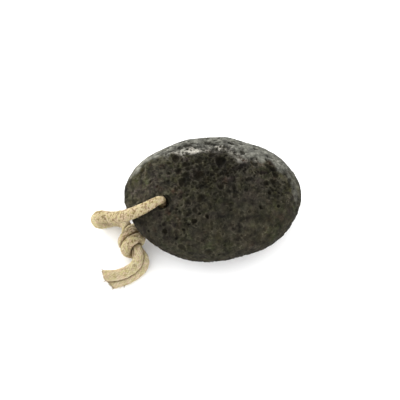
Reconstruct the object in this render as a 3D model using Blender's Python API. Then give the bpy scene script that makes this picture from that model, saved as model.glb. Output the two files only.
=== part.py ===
"""A worn pumice foot stone, drilled near one end, with a cotton hanging cord knotted through it.

The stone lies on its broad side. +X is its long axis, pointing away from the drilled end, and +Z is up.
The origin is under the middle of the stone, on the surface that it lies on.
Lengths are in millimetres here, and MM turns them into metres where a mesh or a curve is made.
"""

import math
import random

import bmesh
import bpy
from mathutils import Matrix, Vector, noise
from mathutils.kdtree import KDTree

MM = 0.001

# The stone
HALF_LENGTH = 46.2
HALF_WIDTH = 33.8
HALF_THICKNESS = 20.8
FULLNESS = 2.4  # of its cross-section: 2 is an ellipse, and more is squarer
STONE_CENTRE = Vector((0.0, -0.3, 19.6))
EDGE_HARDNESS = 20.0  # how sharply the worn flats meet the round body
# Worn flats: the way each faces, and how far it lies from the stone's centre
WORN_FLATS = (
    ((0.05, 0.70, 0.72), 25.8),  # the bevel on the far side
    ((-0.03, -0.16, 0.98), 21.2),  # the top face
    ((0.10, -0.62, -0.78), 26.6),  # the near side's underside
    ((-0.52, -0.32, -0.79), 27.2),  # the underside over the cord
    ((-0.62, -0.12, 0.77), 31.0),  # the top of the drilled end
    ((0.88, -0.43, -0.20), 43.9),  # the near side of the blunt end
    ((0.05, 0.66, -0.75), 27.0),  # the far side's underside
)
LUMP_LAYERS = ((24.0, 0.6), (11.0, 0.5), (5.0, 0.25))  # the size and height of each layer of lumps
LUMP_PATTERN = 3.1  # where in the noise the lumps are read, which sets their pattern
# Broad swells and, below zero, hollows: where each is from the stone's centre, how wide and how high
SWELLS = (
    (Vector((6.0, 31.0, 6.0)), 17.0, 1.9),
    (Vector((-29.0, 24.0, 8.0)), 15.0, -1.2),
    (Vector((20.0, -29.0, -5.0)), 20.0, -1.1),
)

# The block that wears the foot flat: its length, width and height, with its top on the ground
FOOT_BLOCK = Vector((120.0, 100.0, 20.0))

# The drilled hole, from its mouth on the top face to its mouth on the underside
TOP_MOUTH = Vector((-25.5, -9.2, 34.0))
UNDER_MOUTH = Vector((-31.0, -9.0, 8.5))
HOLE_RADIUS = 2.95
HOLE_SIDES = 20
DRILL_PAST = 0.4  # how far the drill runs past each mouth, as a share of the hole's length
# The top mouth, worn wider by the cord: from inside the hole to above the stone, with both radii
WORN_MOUTH = (Vector((-26.2, -8.6, 26.0)), Vector((-26.2, -8.6, 37.5)), 3.0, 5.2)

# Where the cord has worn the mouths: a middle, how wide and how deep
WORN_BY_CORD = (
    (Vector((-26.6, -6.6, 34.4)), 7.0, 2.4),
    (Vector((-32.0, -9.4, 31.0)), 6.0, 1.5),
    (Vector((-32.5, -10.0, 11.0)), 5.0, 1.0),
)

# Pits left by gas bubbles
PIT_SEED = 41
SMALL_PITS = 150
SMALL_PIT_RADIUS = (1.1, 2.3)
PIT_DEPTH_SHARE = 0.75  # of a pit's radius
PIT_FLOOR_SHAPE = 0.7  # below 1 the floor is broad and the rim is steep
PIT_RAGGED = 0.35  # how much a pit's rim wanders, as a share of its radius
PIT_RAGGED_SIZE = 1.9
PITS_ABOVE = 1.2  # the foot is worn smooth below this height
# The large pits on the top: where each lies, seen from above, and its radius
LARGE_PITS = (
    (1.5, 19.0, 2.9),
    (4.0, 12.5, 3.0),
    (9.5, 27.0, 2.0),
    (-19.0, 14.5, 2.2),
    (-13.8, 10.0, 1.9),
    (-17.6, 6.6, 1.8),
    (-1.0, 15.8, 1.7),
    (-7.2, 12.0, 1.8),
    (-3.0, 26.0, 2.0),
    (-36.6, 11.0, 1.8),
    (31.5, 9.6, 1.9),
    (31.8, 6.0, 1.8),
    (31.0, 2.2, 1.7),
    (40.0, 6.5, 1.7),
    (-24.5, -20.5, 1.5),
    (-9.4, -15.6, 1.7),
    (-12.8, -17.4, 1.5),
    (-18.8, -25.0, 1.4),
)
FINE_LEVELS = 6  # of the sphere that the stone is shaped from
STONE_TRIANGLES = 7600

# The cord
CORD_RADIUS = 3.25
CORD_POINTS = 80
CORD_ROUNDING = 3  # steps in a quarter of its section
LINE_STEP = 0.5
SPAN_STEPS = 24  # of the smooth curve between two points of the route
SOFTENINGS = 10
BEND_WEIGHT = 4.0  # how many millimetres of length a radian of bend counts as, where points are shared out
# The cord has turned back on itself where it is this many times longer than the straight way
TURNED_BACK = 1.4
STRAND_GAP = 0.9  # how much of the room between two strands they fill
GAP_SOFTENINGS = 6
# The knot: the first end wraps round the second, and comes out beside it
KNOT_CENTRE = Vector((-41.9, -19.8, 8.0))
KNOT_AXIS = Vector((0.44, -0.89, 0.10)).normalized()
# The three strands in the knot's middle: degrees round its axis, and where each starts and ends along it
CORE_OFFSET = 1.6
FIRST_END_CORE = (235.0, 5.0, -5.4)
STANDING_CORE = (140.0, 3.2, -6.2)
SECOND_END_CORE = (-25.0, -6.4, 6.4)
WRAP_TURNS = range(150, -451, -30)  # degrees round the axis, from the front end to the back end
WRAP_RADIUS = 4.8
WRAP_TAPER = 0.45  # how much nearer the axis each turn lies than the one before
WRAP_FRONT = 3.0
WRAP_PITCH = 4.2
# How thick the cord is there, against its free thickness
CORE_SQUEEZE = 0.34
WRAP_SQUEEZE = 0.62
# Where the first end turns at the knot's two ends: degrees round, distance out and along, and squeeze
FRONT_TURN = (
    (146.0, 1.7, 5.0, 0.38),
    (158.0, 2.9, 6.1, 0.44),
    (172.0, 4.4, 6.0, 0.50),
    (176.0, 5.2, 4.8, 0.54),
    (166.0, 5.0, 3.8, 0.58),
)
BACK_TURN = (
    (-474.0, 4.8, -4.9, 0.54),
    (-488.0, 4.9, -6.3, 0.48),
    (-496.0, 3.7, -7.4, 0.42),
    (-492.0, 2.1, -6.7, 0.36),
)
# The cord's route from one cut end to the other, each point with its squeeze
FIRST_TAIL = [
    (-53.2, -41.1, 3.1, 0.92),
    (-48.8, -40.0, 3.0, 0.90),
    (-44.2, -38.2, 3.0, 0.90),
    (-39.8, -35.2, 3.0, 0.90),
    (-36.8, -32.0, 3.1, 0.90),
    (-35.6, -29.4, 4.2, 0.86),
    (-36.2, -27.0, 6.0, 0.78),
]
LOOP = [
    (-45.0, -9.8, 5.8, 0.82),
    (-47.4, -6.4, 4.2, 0.92),
    (-51.6, -5.1, 3.4, 0.98),
    (-55.9, -6.0, 3.2, 0.98),
    (-59.2, -7.2, 4.4, 0.98),
    (-60.8, -7.0, 7.4, 0.98),
    (-60.0, -6.6, 10.8, 0.98),
    (-57.3, -7.1, 12.8, 0.96),
    (-53.4, -8.8, 15.2, 0.95),
    (-49.6, -10.4, 19.0, 0.95),
    (-45.6, -11.9, 23.8, 0.95),
    (-41.8, -12.3, 27.6, 0.93),
    (-37.8, -12.2, 31.1, 0.89),
    (-33.4, -11.3, 34.3, 0.82),
    (-29.6, -9.9, 36.3, 0.74),
    (-26.9, -8.5, 36.0, 0.66),
    (-25.7, -7.6, 33.2, 0.58),
]
BACK_STRAND = [
    (-32.2, -9.8, 5.6, 0.72),
    (-35.8, -10.8, 4.2, 0.74),
    (-39.6, -10.2, 5.6, 0.70),
]
SECOND_TAIL = [
    (-38.6, -29.2, 8.6, 0.82),
    (-40.2, -33.0, 8.3, 0.88),
    (-44.0, -36.3, 8.2, 0.90),
    (-48.8, -38.2, 8.1, 0.90),
    (-53.2, -38.6, 7.8, 0.90),
    (-56.6, -38.3, 7.2, 0.92),
]
HOLE_SQUEEZE = 0.75
HOLE_SHARES = (0.3, 0.6, 0.9)  # where its points lie down the hole, as shares of the hole's length

COLOURS = {
    "pumice": ((0.042, 0.039, 0.030, 1.0), 0.92),
    "cotton": ((0.60, 0.50, 0.31, 1.0), 0.95),
}


def material(name):
    """A plain Principled material of one colour."""
    colour, roughness = COLOURS[name]
    made = bpy.data.materials.new(name)
    made.use_nodes = True
    shader = made.node_tree.nodes["Principled BSDF"]
    shader.inputs["Base Color"].default_value = colour
    shader.inputs["Roughness"].default_value = roughness
    shader.inputs["Metallic"].default_value = 0.0
    return made


def collection(name):
    made = bpy.data.collections.new(name)
    bpy.context.scene.collection.children.link(made)
    return made


def smooth_distance(direction):
    """How far the smooth worn surface lies from the stone's centre, towards a unit direction."""
    x, y, z = direction
    section = abs(y / HALF_WIDTH) ** FULLNESS + abs(z / HALF_THICKNESS) ** FULLNESS
    inverse = ((x / HALF_LENGTH) ** 2 + section ** (2.0 / FULLNESS)) ** 0.5
    total = inverse**EDGE_HARDNESS
    for facing, distance in WORN_FLATS:
        share = Vector(facing).normalized().dot(direction)
        if share > 0.0:
            total += (share / distance) ** EDGE_HARDNESS
    return total ** (-1.0 / EDGE_HARDNESS)


def lump_height(point):
    """The height of the lumps at a point of the smooth surface."""
    height = 0.0
    for size, most in LUMP_LAYERS:
        height += most * noise.noise(point / size + Vector((size, 0.0, LUMP_PATTERN)))
    for middle, width, most in SWELLS:
        height += most * math.exp(-2.0 * ((point - middle).length / width) ** 2)
    return height


def pit_list(points, normals):
    """Each pit's centre and radius: the large ones where they are named, the small ones scattered."""
    pits = []
    upper = [point for point, normal in zip(points, normals) if normal.z > 0.0]
    for x, y, radius in LARGE_PITS:
        place = min(upper, key=lambda p: (p.x - x) ** 2 + (p.y - y) ** 2)
        pits.append((place, radius))
    scatter = random.Random(PIT_SEED)
    for _ in range(SMALL_PITS):
        small = scatter.uniform(0.0, 1.0) ** 2
        radius = SMALL_PIT_RADIUS[0] + small * (SMALL_PIT_RADIUS[1] - SMALL_PIT_RADIUS[0])
        place = points[scatter.randrange(len(points))]
        if place.z > PITS_ABOVE:
            pits.append((place, radius))
    return pits


def press_pits(shape):
    """Presses the pits into the surface, straight in, each with a ragged rim."""
    points = [vertex.co.copy() for vertex in shape.verts]
    normals = [vertex.normal.copy() for vertex in shape.verts]
    near = KDTree(len(points))
    for index, point in enumerate(points):
        near.insert(point, index)
    near.balance()
    depth = [0.0] * len(points)
    for centre, radius in pit_list(points, normals):
        for point, index, distance in near.find_range(centre, radius * (1.0 + PIT_RAGGED)):
            ragged = distance * (1.0 + PIT_RAGGED * noise.noise(point / PIT_RAGGED_SIZE))
            bowl = 1.0 - (ragged / radius) ** 2
            if bowl > 0.0:
                depth[index] = max(depth[index], PIT_DEPTH_SHARE * radius * bowl**PIT_FLOOR_SHAPE)
    for middle, radius, most in WORN_BY_CORD:
        for point, index, distance in near.find_range(middle, radius):
            depth[index] += most * (1.0 - (distance / radius) ** 2) ** 2
    for vertex, normal, deep in zip(shape.verts, normals, depth):
        vertex.co -= normal * deep


def stone_body():
    """The worn, lumpy and pitted stone before it is cut flat and drilled, as a mesh in metres."""
    shape = bmesh.new()
    bmesh.ops.create_icosphere(shape, subdivisions=FINE_LEVELS, radius=1.0)
    for vertex in shape.verts:
        direction = vertex.co.normalized()
        smooth = direction * smooth_distance(direction)
        vertex.co = STONE_CENTRE + smooth + direction * lump_height(smooth)
    shape.normal_update()
    press_pits(shape)
    bmesh.ops.scale(shape, vec=(MM, MM, MM), verts=shape.verts)
    mesh = bpy.data.meshes.new("pumice_stone")
    shape.to_mesh(mesh)
    shape.free()
    return mesh


def cut(target, cutter):
    """Cuts one object away from another, and keeps the cutter as a guide."""
    cutter.hide_render = True
    cutter.display_type = "WIRE"
    step = target.modifiers.new(cutter.name, "BOOLEAN")
    step.operation = "DIFFERENCE"
    step.solver = "EXACT"
    step.object = cutter


def make_foot_cutter(cutters):
    """A block whose top is the level that the stone lies on."""
    shape = bmesh.new()
    bmesh.ops.create_cube(shape, size=1.0)
    bmesh.ops.scale(shape, vec=FOOT_BLOCK * MM, verts=shape.verts)
    bmesh.ops.translate(shape, vec=(0.0, 0.0, -FOOT_BLOCK.z * MM / 2.0), verts=shape.verts)
    mesh = bpy.data.meshes.new("worn_foot")
    shape.to_mesh(mesh)
    shape.free()
    made = bpy.data.objects.new("worn_foot", mesh)
    cutters.objects.link(made)
    return made


def make_bore(cutters, name, start, end, start_radius, end_radius):
    """A round cutter between two points: a drill, or a mouth that the cord has worn wider."""
    along = end - start
    shape = bmesh.new()
    bmesh.ops.create_cone(
        shape,
        cap_ends=True,
        segments=HOLE_SIDES,
        radius1=start_radius * MM,
        radius2=end_radius * MM,
        depth=along.length * MM,
    )
    turn = along.to_track_quat("Z", "Y").to_matrix().to_4x4()
    middle = (start + end) * 0.5 * MM
    bmesh.ops.transform(shape, matrix=Matrix.Translation(middle) @ turn, verts=shape.verts)
    mesh = bpy.data.meshes.new(name)
    shape.to_mesh(mesh)
    shape.free()
    made = bpy.data.objects.new(name, mesh)
    cutters.objects.link(made)
    return made


def make_stone(parts, cutters):
    """The stone: thinned to its triangles, cut flat where it rests, and drilled right through."""
    past = (TOP_MOUTH - UNDER_MOUTH) * DRILL_PAST
    mesh = stone_body()
    mesh.materials.append(material("pumice"))
    stone = bpy.data.objects.new("pumice_stone", mesh)
    parts.objects.link(stone)
    thin = stone.modifiers.new("thin", "DECIMATE")
    thin.decimate_type = "COLLAPSE"
    thin.ratio = STONE_TRIANGLES / len(mesh.polygons)
    cut(stone, make_foot_cutter(cutters))
    cut(stone, make_bore(cutters, "drill", UNDER_MOUTH - past, TOP_MOUTH + past, HOLE_RADIUS, HOLE_RADIUS))
    cut(stone, make_bore(cutters, "worn_mouth", *WORN_MOUTH))
    return stone


def knot_point(turn_degrees, outward, along):
    """A point by the knot's axis: degrees round it from its top, and distances out from it and along it."""
    up = (Vector((0.0, 0.0, 1.0)) - KNOT_AXIS * KNOT_AXIS.z).normalized()
    side = KNOT_AXIS.cross(up)
    turn = math.radians(turn_degrees)
    return KNOT_CENTRE + KNOT_AXIS * along + outward * (math.cos(turn) * up + math.sin(turn) * side)


def wraps():
    """The first end's wraps, from the knot's front end to its back."""
    points = []
    for turn in WRAP_TURNS:
        turned = (WRAP_TURNS.start - turn) / 360.0
        place = knot_point(turn, WRAP_RADIUS - WRAP_TAPER * turned, WRAP_FRONT - WRAP_PITCH * turned)
        points.append((*place, WRAP_SQUEEZE))
    return points


def through_core(turn_degrees, start, end):
    """A straight stretch through the knot's middle."""
    places = (start, (start + end) / 2.0, end)
    return [(*knot_point(turn_degrees, CORE_OFFSET, along), CORE_SQUEEZE) for along in places]


def through_hole():
    """A straight stretch down the middle of the drilled hole."""
    return [(*TOP_MOUTH.lerp(UNDER_MOUTH, share), HOLE_SQUEEZE) for share in HOLE_SHARES]


def cord_route():
    """The points that the cord goes through, each with its squeeze, from one cut end to the other."""
    back_turn = [(*knot_point(*place), squeeze) for *place, squeeze in reversed(BACK_TURN)]
    front_turn = [(*knot_point(*place), squeeze) for *place, squeeze in reversed(FRONT_TURN)]
    tied = FIRST_TAIL + through_core(*FIRST_END_CORE) + back_turn + wraps()[::-1] + front_turn
    looped = through_core(*STANDING_CORE) + LOOP + through_hole() + BACK_STRAND
    return tied + looped + through_core(*SECOND_END_CORE) + SECOND_TAIL


def smooth_line(route):
    """A smooth curve through the route's points, centripetal, so that it doesn't swing out."""
    rows = [Vector(point) for point in route]
    rows = [rows[0] * 2 - rows[1]] + rows + [rows[-1] * 2 - rows[-2]]
    line = []
    for a, b, c, d in zip(rows, rows[1:], rows[2:], rows[3:]):
        knots = [0.0]
        for start, end in ((a, b), (b, c), (c, d)):
            knots.append(knots[-1] + (end - start).to_3d().length ** 0.5)
        for step in range(SPAN_STEPS):
            t = knots[1] + (knots[2] - knots[1]) * step / SPAN_STEPS
            one = a.lerp(b, t / knots[1])
            two = b.lerp(c, (t - knots[1]) / (knots[2] - knots[1]))
            three = c.lerp(d, (t - knots[2]) / (knots[3] - knots[2]))
            four = one.lerp(two, t / knots[2])
            five = two.lerp(three, (t - knots[1]) / (knots[3] - knots[1]))
            line.append(four.lerp(five, (t - knots[1]) / (knots[2] - knots[1])))
    return line + [rows[-2]]


def shared_out(line, costs, count):
    """That many points of a line, with an equal cost between each and the next."""
    total = [0.0]
    for cost in costs:
        total.append(total[-1] + cost)
    points = []
    index = 0
    for number in range(count):
        wanted = total[-1] * number / (count - 1)
        while index < len(costs) - 1 and total[index + 1] < wanted:
            index += 1
        share = (wanted - total[index]) / costs[index]
        points.append(line[index].lerp(line[index + 1], min(1.0, share)))
    return points


def cord_line():
    """The cord's line in even steps of LINE_STEP, with its sharpest turns softened."""
    line = smooth_line(cord_route())
    lengths = [(b - a).to_3d().length for a, b in zip(line, line[1:])]
    line = shared_out(line, lengths, round(sum(lengths) / LINE_STEP))
    for _ in range(SOFTENINGS):
        middle = [(a + b * 2.0 + c) / 4.0 for a, b, c in zip(line, line[1:], line[2:])]
        line = [line[0]] + middle + [line[-1]]
    return line


def kept_apart(line):
    """The line with its squeezes lowered until no strand touches another, or itself in a bend."""
    places = [point.to_3d() for point in line]
    shares = []
    for index, place in enumerate(places):
        share = 1.0
        for other_index, other in enumerate(places):
            distance = (place - other).length
            if abs(index - other_index) * LINE_STEP > TURNED_BACK * distance:
                filled = CORD_RADIUS * (line[index].w + line[other_index].w)
                share = min(share, STRAND_GAP * distance / filled)
        shares.append(share)
    for _ in range(GAP_SOFTENINGS):
        softer = [(a + b * 2.0 + c) / 4.0 for a, b, c in zip(shares, shares[1:], shares[2:])]
        shares[1:-1] = [min(share, soft) for share, soft in zip(shares[1:-1], softer)]
    return [Vector((*place, point.w * share)) for place, point, share in zip(places, line, shares)]


def cord_points():
    """CORD_POINTS points of the cord's line, closer together where it bends more."""
    line = kept_apart(cord_line())
    costs = []
    for before, here, after in zip([line[0]] + line, line, line[1:]):
        step = (after - here).to_3d()
        costs.append(step.length + BEND_WEIGHT * step.angle((here - before).to_3d(), 0.0))
    return shared_out(line, costs, CORD_POINTS)


def make_cord(parts):
    """The cord as one tube, thinner where the knot and the hole squeeze it."""
    data = bpy.data.curves.new("cord", "CURVE")
    data.dimensions = "3D"
    data.bevel_depth = CORD_RADIUS * MM
    data.bevel_resolution = CORD_ROUNDING
    data.use_fill_caps = True
    data.twist_mode = "MINIMUM"
    spline = data.splines.new("POLY")
    points = cord_points()
    spline.points.add(len(points) - 1)
    for point, (x, y, z, squeeze) in zip(spline.points, points):
        point.co = (x * MM, y * MM, z * MM, 1.0)
        point.radius = squeeze
    data.materials.append(material("cotton"))
    cord = bpy.data.objects.new("cord", data)
    parts.objects.link(cord)
    return cord


def main():
    for old in list(bpy.data.objects):
        bpy.data.objects.remove(old, do_unlink=True)
    parts = collection("pumice_foot_stone")
    cutters = collection("cutters")
    make_stone(parts, cutters)
    make_cord(parts)


main()
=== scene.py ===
"""The looks of a worn pumice foot stone and of the knotted cotton cord through it.

Lengths are in millimetres in the model's own frame, and MM turns them into metres where a mesh is made.
"""

import math
import random
from collections import namedtuple

import bmesh
import bpy
import numpy as np
from mathutils import Matrix, Vector, noise
from mathutils.kdtree import KDTree

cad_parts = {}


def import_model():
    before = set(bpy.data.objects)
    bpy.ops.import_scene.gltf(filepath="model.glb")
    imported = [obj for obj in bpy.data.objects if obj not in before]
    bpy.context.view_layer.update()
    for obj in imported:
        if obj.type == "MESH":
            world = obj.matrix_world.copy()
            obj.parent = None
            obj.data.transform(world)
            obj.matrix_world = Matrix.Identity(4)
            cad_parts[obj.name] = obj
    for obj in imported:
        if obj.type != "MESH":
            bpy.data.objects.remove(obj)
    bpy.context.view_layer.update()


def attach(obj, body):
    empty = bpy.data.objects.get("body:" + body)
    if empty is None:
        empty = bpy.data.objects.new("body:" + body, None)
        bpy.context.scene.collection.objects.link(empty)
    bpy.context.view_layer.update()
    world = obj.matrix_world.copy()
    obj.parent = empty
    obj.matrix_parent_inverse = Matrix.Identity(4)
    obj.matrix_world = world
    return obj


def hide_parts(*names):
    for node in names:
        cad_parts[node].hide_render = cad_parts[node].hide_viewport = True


MM = 0.001

# The camera: how high it looks from, how far away, what it looks at, and how much it sees across
VIEW_ELEVATION = math.radians(65.0)
VIEW_DISTANCE = 1100.0
VIEW_AIM = Vector((-6.6, -0.8, 19.4))
VIEW_WIDTH = 208.0
SENSOR_WIDTH = 36.0
VIEW_CLIP = (0.01, 20.0)  # in metres

# The cord's line: the same route as the cord's solid takes
CORD_RADIUS = 3.25
LINE_STEP = 0.5
SPAN_STEPS = 24
SOFTENINGS = 10
# The knot, where the first end wraps round the second and comes out beside it
KNOT_CENTRE = Vector((-41.9, -19.8, 8.0))
KNOT_AXIS = Vector((0.44, -0.89, 0.10)).normalized()
# The three strands in the knot's middle: degrees round its axis, and where each starts and ends along it
CORE_OFFSET = 1.6
CORE_SQUEEZE = 0.66
FIRST_END_CORE = (235.0, 5.0, -5.4)
STANDING_CORE = (140.0, 3.2, -6.2)
SECOND_END_CORE = (-25.0, -6.4, 6.4)
# The wraps, from the front end to the back: degrees round from the top to the left, and squeeze
WRAP_TURNS = range(150, -451, -30)
WRAP_RADIUS = 4.8
WRAP_TAPER = 0.45  # how much nearer the axis each turn lies than the one before
WRAP_FRONT = 3.0
WRAP_PITCH = 4.2
WRAP_SQUEEZE = 0.92
# Where the first end turns at the knot's two ends: degrees round, distance out and along, and squeeze
FRONT_TURN = (
    (146.0, 1.7, 5.0, 0.70), (158.0, 2.9, 6.1, 0.74), (172.0, 4.4, 6.0, 0.78),
    (176.0, 5.2, 4.8, 0.84), (166.0, 5.0, 3.8, 0.88),
)
BACK_TURN = (
    (-474.0, 4.8, -4.9, 0.80), (-488.0, 4.9, -6.3, 0.74), (-496.0, 3.7, -7.4, 0.70),
    (-492.0, 2.1, -6.7, 0.66),
)
TOP_MOUTH = Vector((-25.5, -9.2, 34.0))
UNDER_MOUTH = Vector((-31.0, -9.0, 8.5))
HOLE_SQUEEZE = 0.75
HOLE_SHARES = (0.3, 0.6, 0.9)
FIRST_TAIL = [
    (-53.2, -41.1, 3.1, 0.92), (-48.8, -40.0, 3.0, 0.90), (-44.2, -38.2, 3.0, 0.90),
    (-39.8, -35.2, 3.0, 0.90), (-36.8, -32.0, 3.1, 0.90), (-35.6, -29.4, 4.2, 0.86),
    (-36.2, -27.0, 6.0, 0.78),
]
LOOP = [
    (-45.0, -9.8, 5.8, 0.82), (-47.4, -6.4, 4.2, 0.92), (-51.6, -5.1, 3.4, 0.98),
    (-55.9, -6.0, 3.2, 0.98), (-59.2, -7.2, 4.4, 0.98), (-60.8, -7.0, 7.4, 0.98),
    (-60.0, -6.6, 10.8, 0.98), (-57.3, -7.1, 12.8, 0.96), (-53.4, -8.8, 15.2, 0.95),
    (-49.6, -10.4, 19.0, 0.95), (-45.6, -11.9, 23.8, 0.95), (-41.8, -12.3, 27.6, 0.93),
    (-37.8, -12.2, 31.1, 0.89), (-33.4, -11.3, 34.3, 0.82), (-29.6, -9.9, 36.3, 0.74),
    (-26.9, -8.5, 36.0, 0.66), (-25.7, -7.6, 33.2, 0.58),
]
BACK_STRAND = [
    (-32.2, -9.8, 5.6, 0.72), (-35.8, -10.8, 4.2, 0.74), (-39.6, -10.2, 5.6, 0.70),
]
SECOND_TAIL = [
    (-38.6, -29.2, 8.6, 0.82), (-40.2, -33.0, 8.3, 0.88), (-44.0, -36.3, 8.2, 0.90),
    (-48.8, -38.2, 8.1, 0.90), (-53.2, -38.6, 7.8, 0.90), (-56.6, -38.3, 7.2, 0.92),
]

# The cord's two halves, which meet out of sight in the middle of the hole
HOLE_MIDDLE = TOP_MOUTH.lerp(UNDER_MOUTH, 0.5)
FRONT_LENGTH = 200.0
BACK_LENGTH = 71.0
RING_STEP = 0.3
TUBE_ROUNDING = 32  # Blender makes 4 sides and 2 more for each step of this
TUBE_SIDES = 4 + 2 * TUBE_ROUNDING
CAPS = 2  # the rings of the end's cap and the start's cap, which come before the tube's own rings
PRESS_APART = 8.0  # strands further apart than this along the cord press on each other
PRESS_LEAST = 0.4  # a strand is never pressed thinner than this share of its radius
PRESS_SOFTNESS = 0.35
FREE_REACH = 99.0  # stands for no limit
TINY = 1e-6
SHADE_REACH = 1.7  # how far from another strand the painted shade between the two begins
SHADE_POWER = 1.5
FLOOR_CLEAR = 0.02  # the least height of the cord and its fibres above the surface
END_RINGS = 4  # how many rings back from a cut end its direction is taken

# The braid on the cord's surface
BRAID_YARNS = 13  # each way round
BRAID_PITCH = 1.75  # how far along the cord one crossing lies from the next
BRAID_RELIEF = 0.16  # of the cord's radius
BRAID_SEED = 3
BRAID_WANDER = 0.16  # how far the yarns stray from an even braid, in yarns
BRAID_WANDER_SIZE = 3.0
BRAID_WANDER_ROUND = 2.0  # how much it changes round the cord
BRAID_UNEVEN = 0.65  # how much flatter the flattest yarns lie
# A yarn's section: how square it is across and along, and how low it is where it goes under the next
YARN_ACROSS = 0.7
YARN_ALONG = 0.8
YARN_LOW = 0.35
PATTERN_ROWS = 400

# The loose fibres on the cord: how many to a millimetre, their lengths and their thickness
FIBRE_SEED = 19
FIBRES_PER_MM = 10.0
FIBRE_LENGTH = (0.5, 1.5)
FIBRE_RADIUS = 0.035
FIBRE_SUNK = 0.05  # how deep in the cord they begin
FIBRE_WAY = (0.75, 0.6)  # how much they point straight out, and any way
FIBRE_YARN = 0.8  # how light they are, as the braid's own value
FIBRE_SHORTEST = 0.4  # as a share
# A fibre's three rings: how far along it each lies, and how thick it is there
FIBRE_RINGS = ((0.0, 1.0), (0.5, 0.8), (1.0, 0.25))
FIBRE_SIDES = 3
FIBRE_CORNERS = len(FIBRE_RINGS) * FIBRE_SIDES
CURL = 0.3
CURL_MOST = 0.45
FIBRES_ABOVE = 0.4  # none begins lower than this
# The frayed fibres round each cut end
FRAYED = 260
FRAYED_LENGTH = (0.8, 2.2)
FRAYED_RADIUS = 0.06
FRAYED_FACE = 0.96  # how much of the cut's width they cover
FRAYED_SUNK = 0.4
FRAYED_WAY = (0.5, 0.28)  # how much they spread outwards, and any way
FRAYED_YARN = (0.0, 0.5)
FRAYED_SHORTEST = 0.5
END_DARKENING = (0.22, 18.0)  # how much darker the cut ends are made, and how far the darkening reaches along the cord
# The slanting cut across both ends: the way along which it slants, for each half how far its end is moved
# along the cord and the slope of the cut, and how far back it fades out
CUT_UPWARD = Vector((0.0, 0.906, 0.423))
CUTS = {"cord_front": (0.0, 0.55), "cord_back": (-0.7, 0.36)}
CUT_FADE = 7.0
# The few long strays at the ends: how far back along the cord each starts, its way and its length
STRAYS = (
    ("cord_back", 0.3, (-0.72, -0.69, 0.05), 2.2),
    ("cord_front", 6.6, (0.35, -0.93, 0.05), 2.0),
    ("cord_back", 0.4, (-0.75, 0.60, 0.25), 1.6),
    ("cord_front", 0.3, (-0.70, -0.65, 0.10), 1.5),
)
STRAY_RADIUS = 0.22

# The stone, whose form and large pits are those of its solid
HALF_LENGTH = 46.2
HALF_WIDTH = 33.8
HALF_THICKNESS = 20.8
FULLNESS = 2.4
STONE_CENTRE = Vector((0.0, -0.3, 19.6))
EDGE_HARDNESS = 20.0
WORN_FLATS = (
    ((0.05, 0.70, 0.72), 25.8),  # the bevel on the far side
    ((-0.03, -0.16, 0.98), 21.2),  # the top face
    ((0.10, -0.62, -0.78), 26.6),  # the near side's underside
    ((-0.52, -0.32, -0.79), 27.2),  # the underside over the cord
    ((-0.62, -0.12, 0.77), 31.0),  # the top of the drilled end
    ((0.88, -0.43, -0.20), 43.9),  # the near side of the blunt end
    ((0.05, 0.66, -0.75), 27.0),  # the far side's underside
)
LUMP_LAYERS = ((24.0, 0.6), (11.0, 0.5), (5.0, 0.25))
LUMP_PATTERN = 3.1
SWELLS = (
    (Vector((6.0, 31.0, 6.0)), 17.0, 1.9),
    (Vector((-29.0, 24.0, 8.0)), 15.0, -1.2),
    (Vector((20.0, -29.0, -5.0)), 20.0, -1.1),
)
HOLE_RADIUS = 2.95
HOLE_DARK = (1.05, 0.98)  # how far up the hole the painted shade on the cord begins and is full, as shares of its length
# The drilled hole's profile: how far up the hole, and how far out
HOLE_PROFILE = (
    (-14.0, 0.0), (-14.0, 4.2), (-3.5, HOLE_RADIUS), (22.0, HOLE_RADIUS),
    (27.0, 3.1), (36.0, 3.6), (36.0, 0.0),
)
HOLE_SIDES = 40
# Where the cord has rubbed the crust away: the middle, the radius and the depth
WORN_BY_CORD = (
    (Vector((-27.4, -7.0, 34.4)), 5.0, 1.2),
    (Vector((-24.6, -12.0, 35.4)), 3.0, 1.0),
    (Vector((-32.0, -9.4, 31.0)), 6.0, 1.5),
    (Vector((-32.5, -10.0, 11.0)), 5.0, 1.0),
)
PIT_SEED = 41
SMALL_PITS = 150
SMALL_PIT_RADIUS = (1.1, 2.3)
SMALL_PIT_POWER = 2  # the higher, the fewer of them are wide
PIT_DEPTH_SHARE = 0.75
PIT_FLOOR_SHAPE = 0.7
PIT_FULL = 1.2  # the depth at which a pit's painted shade is darkest
PITS_ABOVE = 1.2
# The pits that have their own place on the upper side: X, Y and radius
LARGE_PITS = (
    (1.5, 19.0, 2.9), (4.0, 12.5, 3.0), (9.5, 27.0, 2.0), (-19.0, 14.5, 2.2), (-13.8, 10.0, 1.9),
    (-17.6, 6.6, 1.8), (-1.0, 15.8, 1.7), (-7.2, 12.0, 1.8), (-3.0, 26.0, 2.0), (-36.6, 11.0, 1.8),
    (31.5, 9.6, 1.9), (31.8, 6.0, 1.8), (31.0, 2.2, 1.7), (40.0, 6.5, 1.7), (-24.5, -20.5, 1.5),
    (-9.4, -15.6, 1.7), (-12.8, -17.4, 1.5), (-18.8, -25.0, 1.4),
)
# Smaller ones that keep their depth where the crust is worn
SHARP_PITS = (
    (-24.3, -24.2, 1.35), (-9.0, -20.8, 1.3), (-12.6, -22.0, 0.9), (-18.6, -27.6, 1.0),
    (-3.1, -18.2, 1.1), (-6.7, -17.0, 0.9), (-15.0, -24.2, 0.9), (-33.0, -21.6, 0.9),
    (-18.5, -14.2, 0.9), (24.5, -13.0, 1.0), (33.5, -10.5, 1.1), (29.0, -4.5, 1.2),
)
SHARP_DEPTH_SHARE = 1.2
COARSE_LEVELS = 6  # of the sphere, whose corners the pits are scattered over
FINER_CUTS = 2

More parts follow.
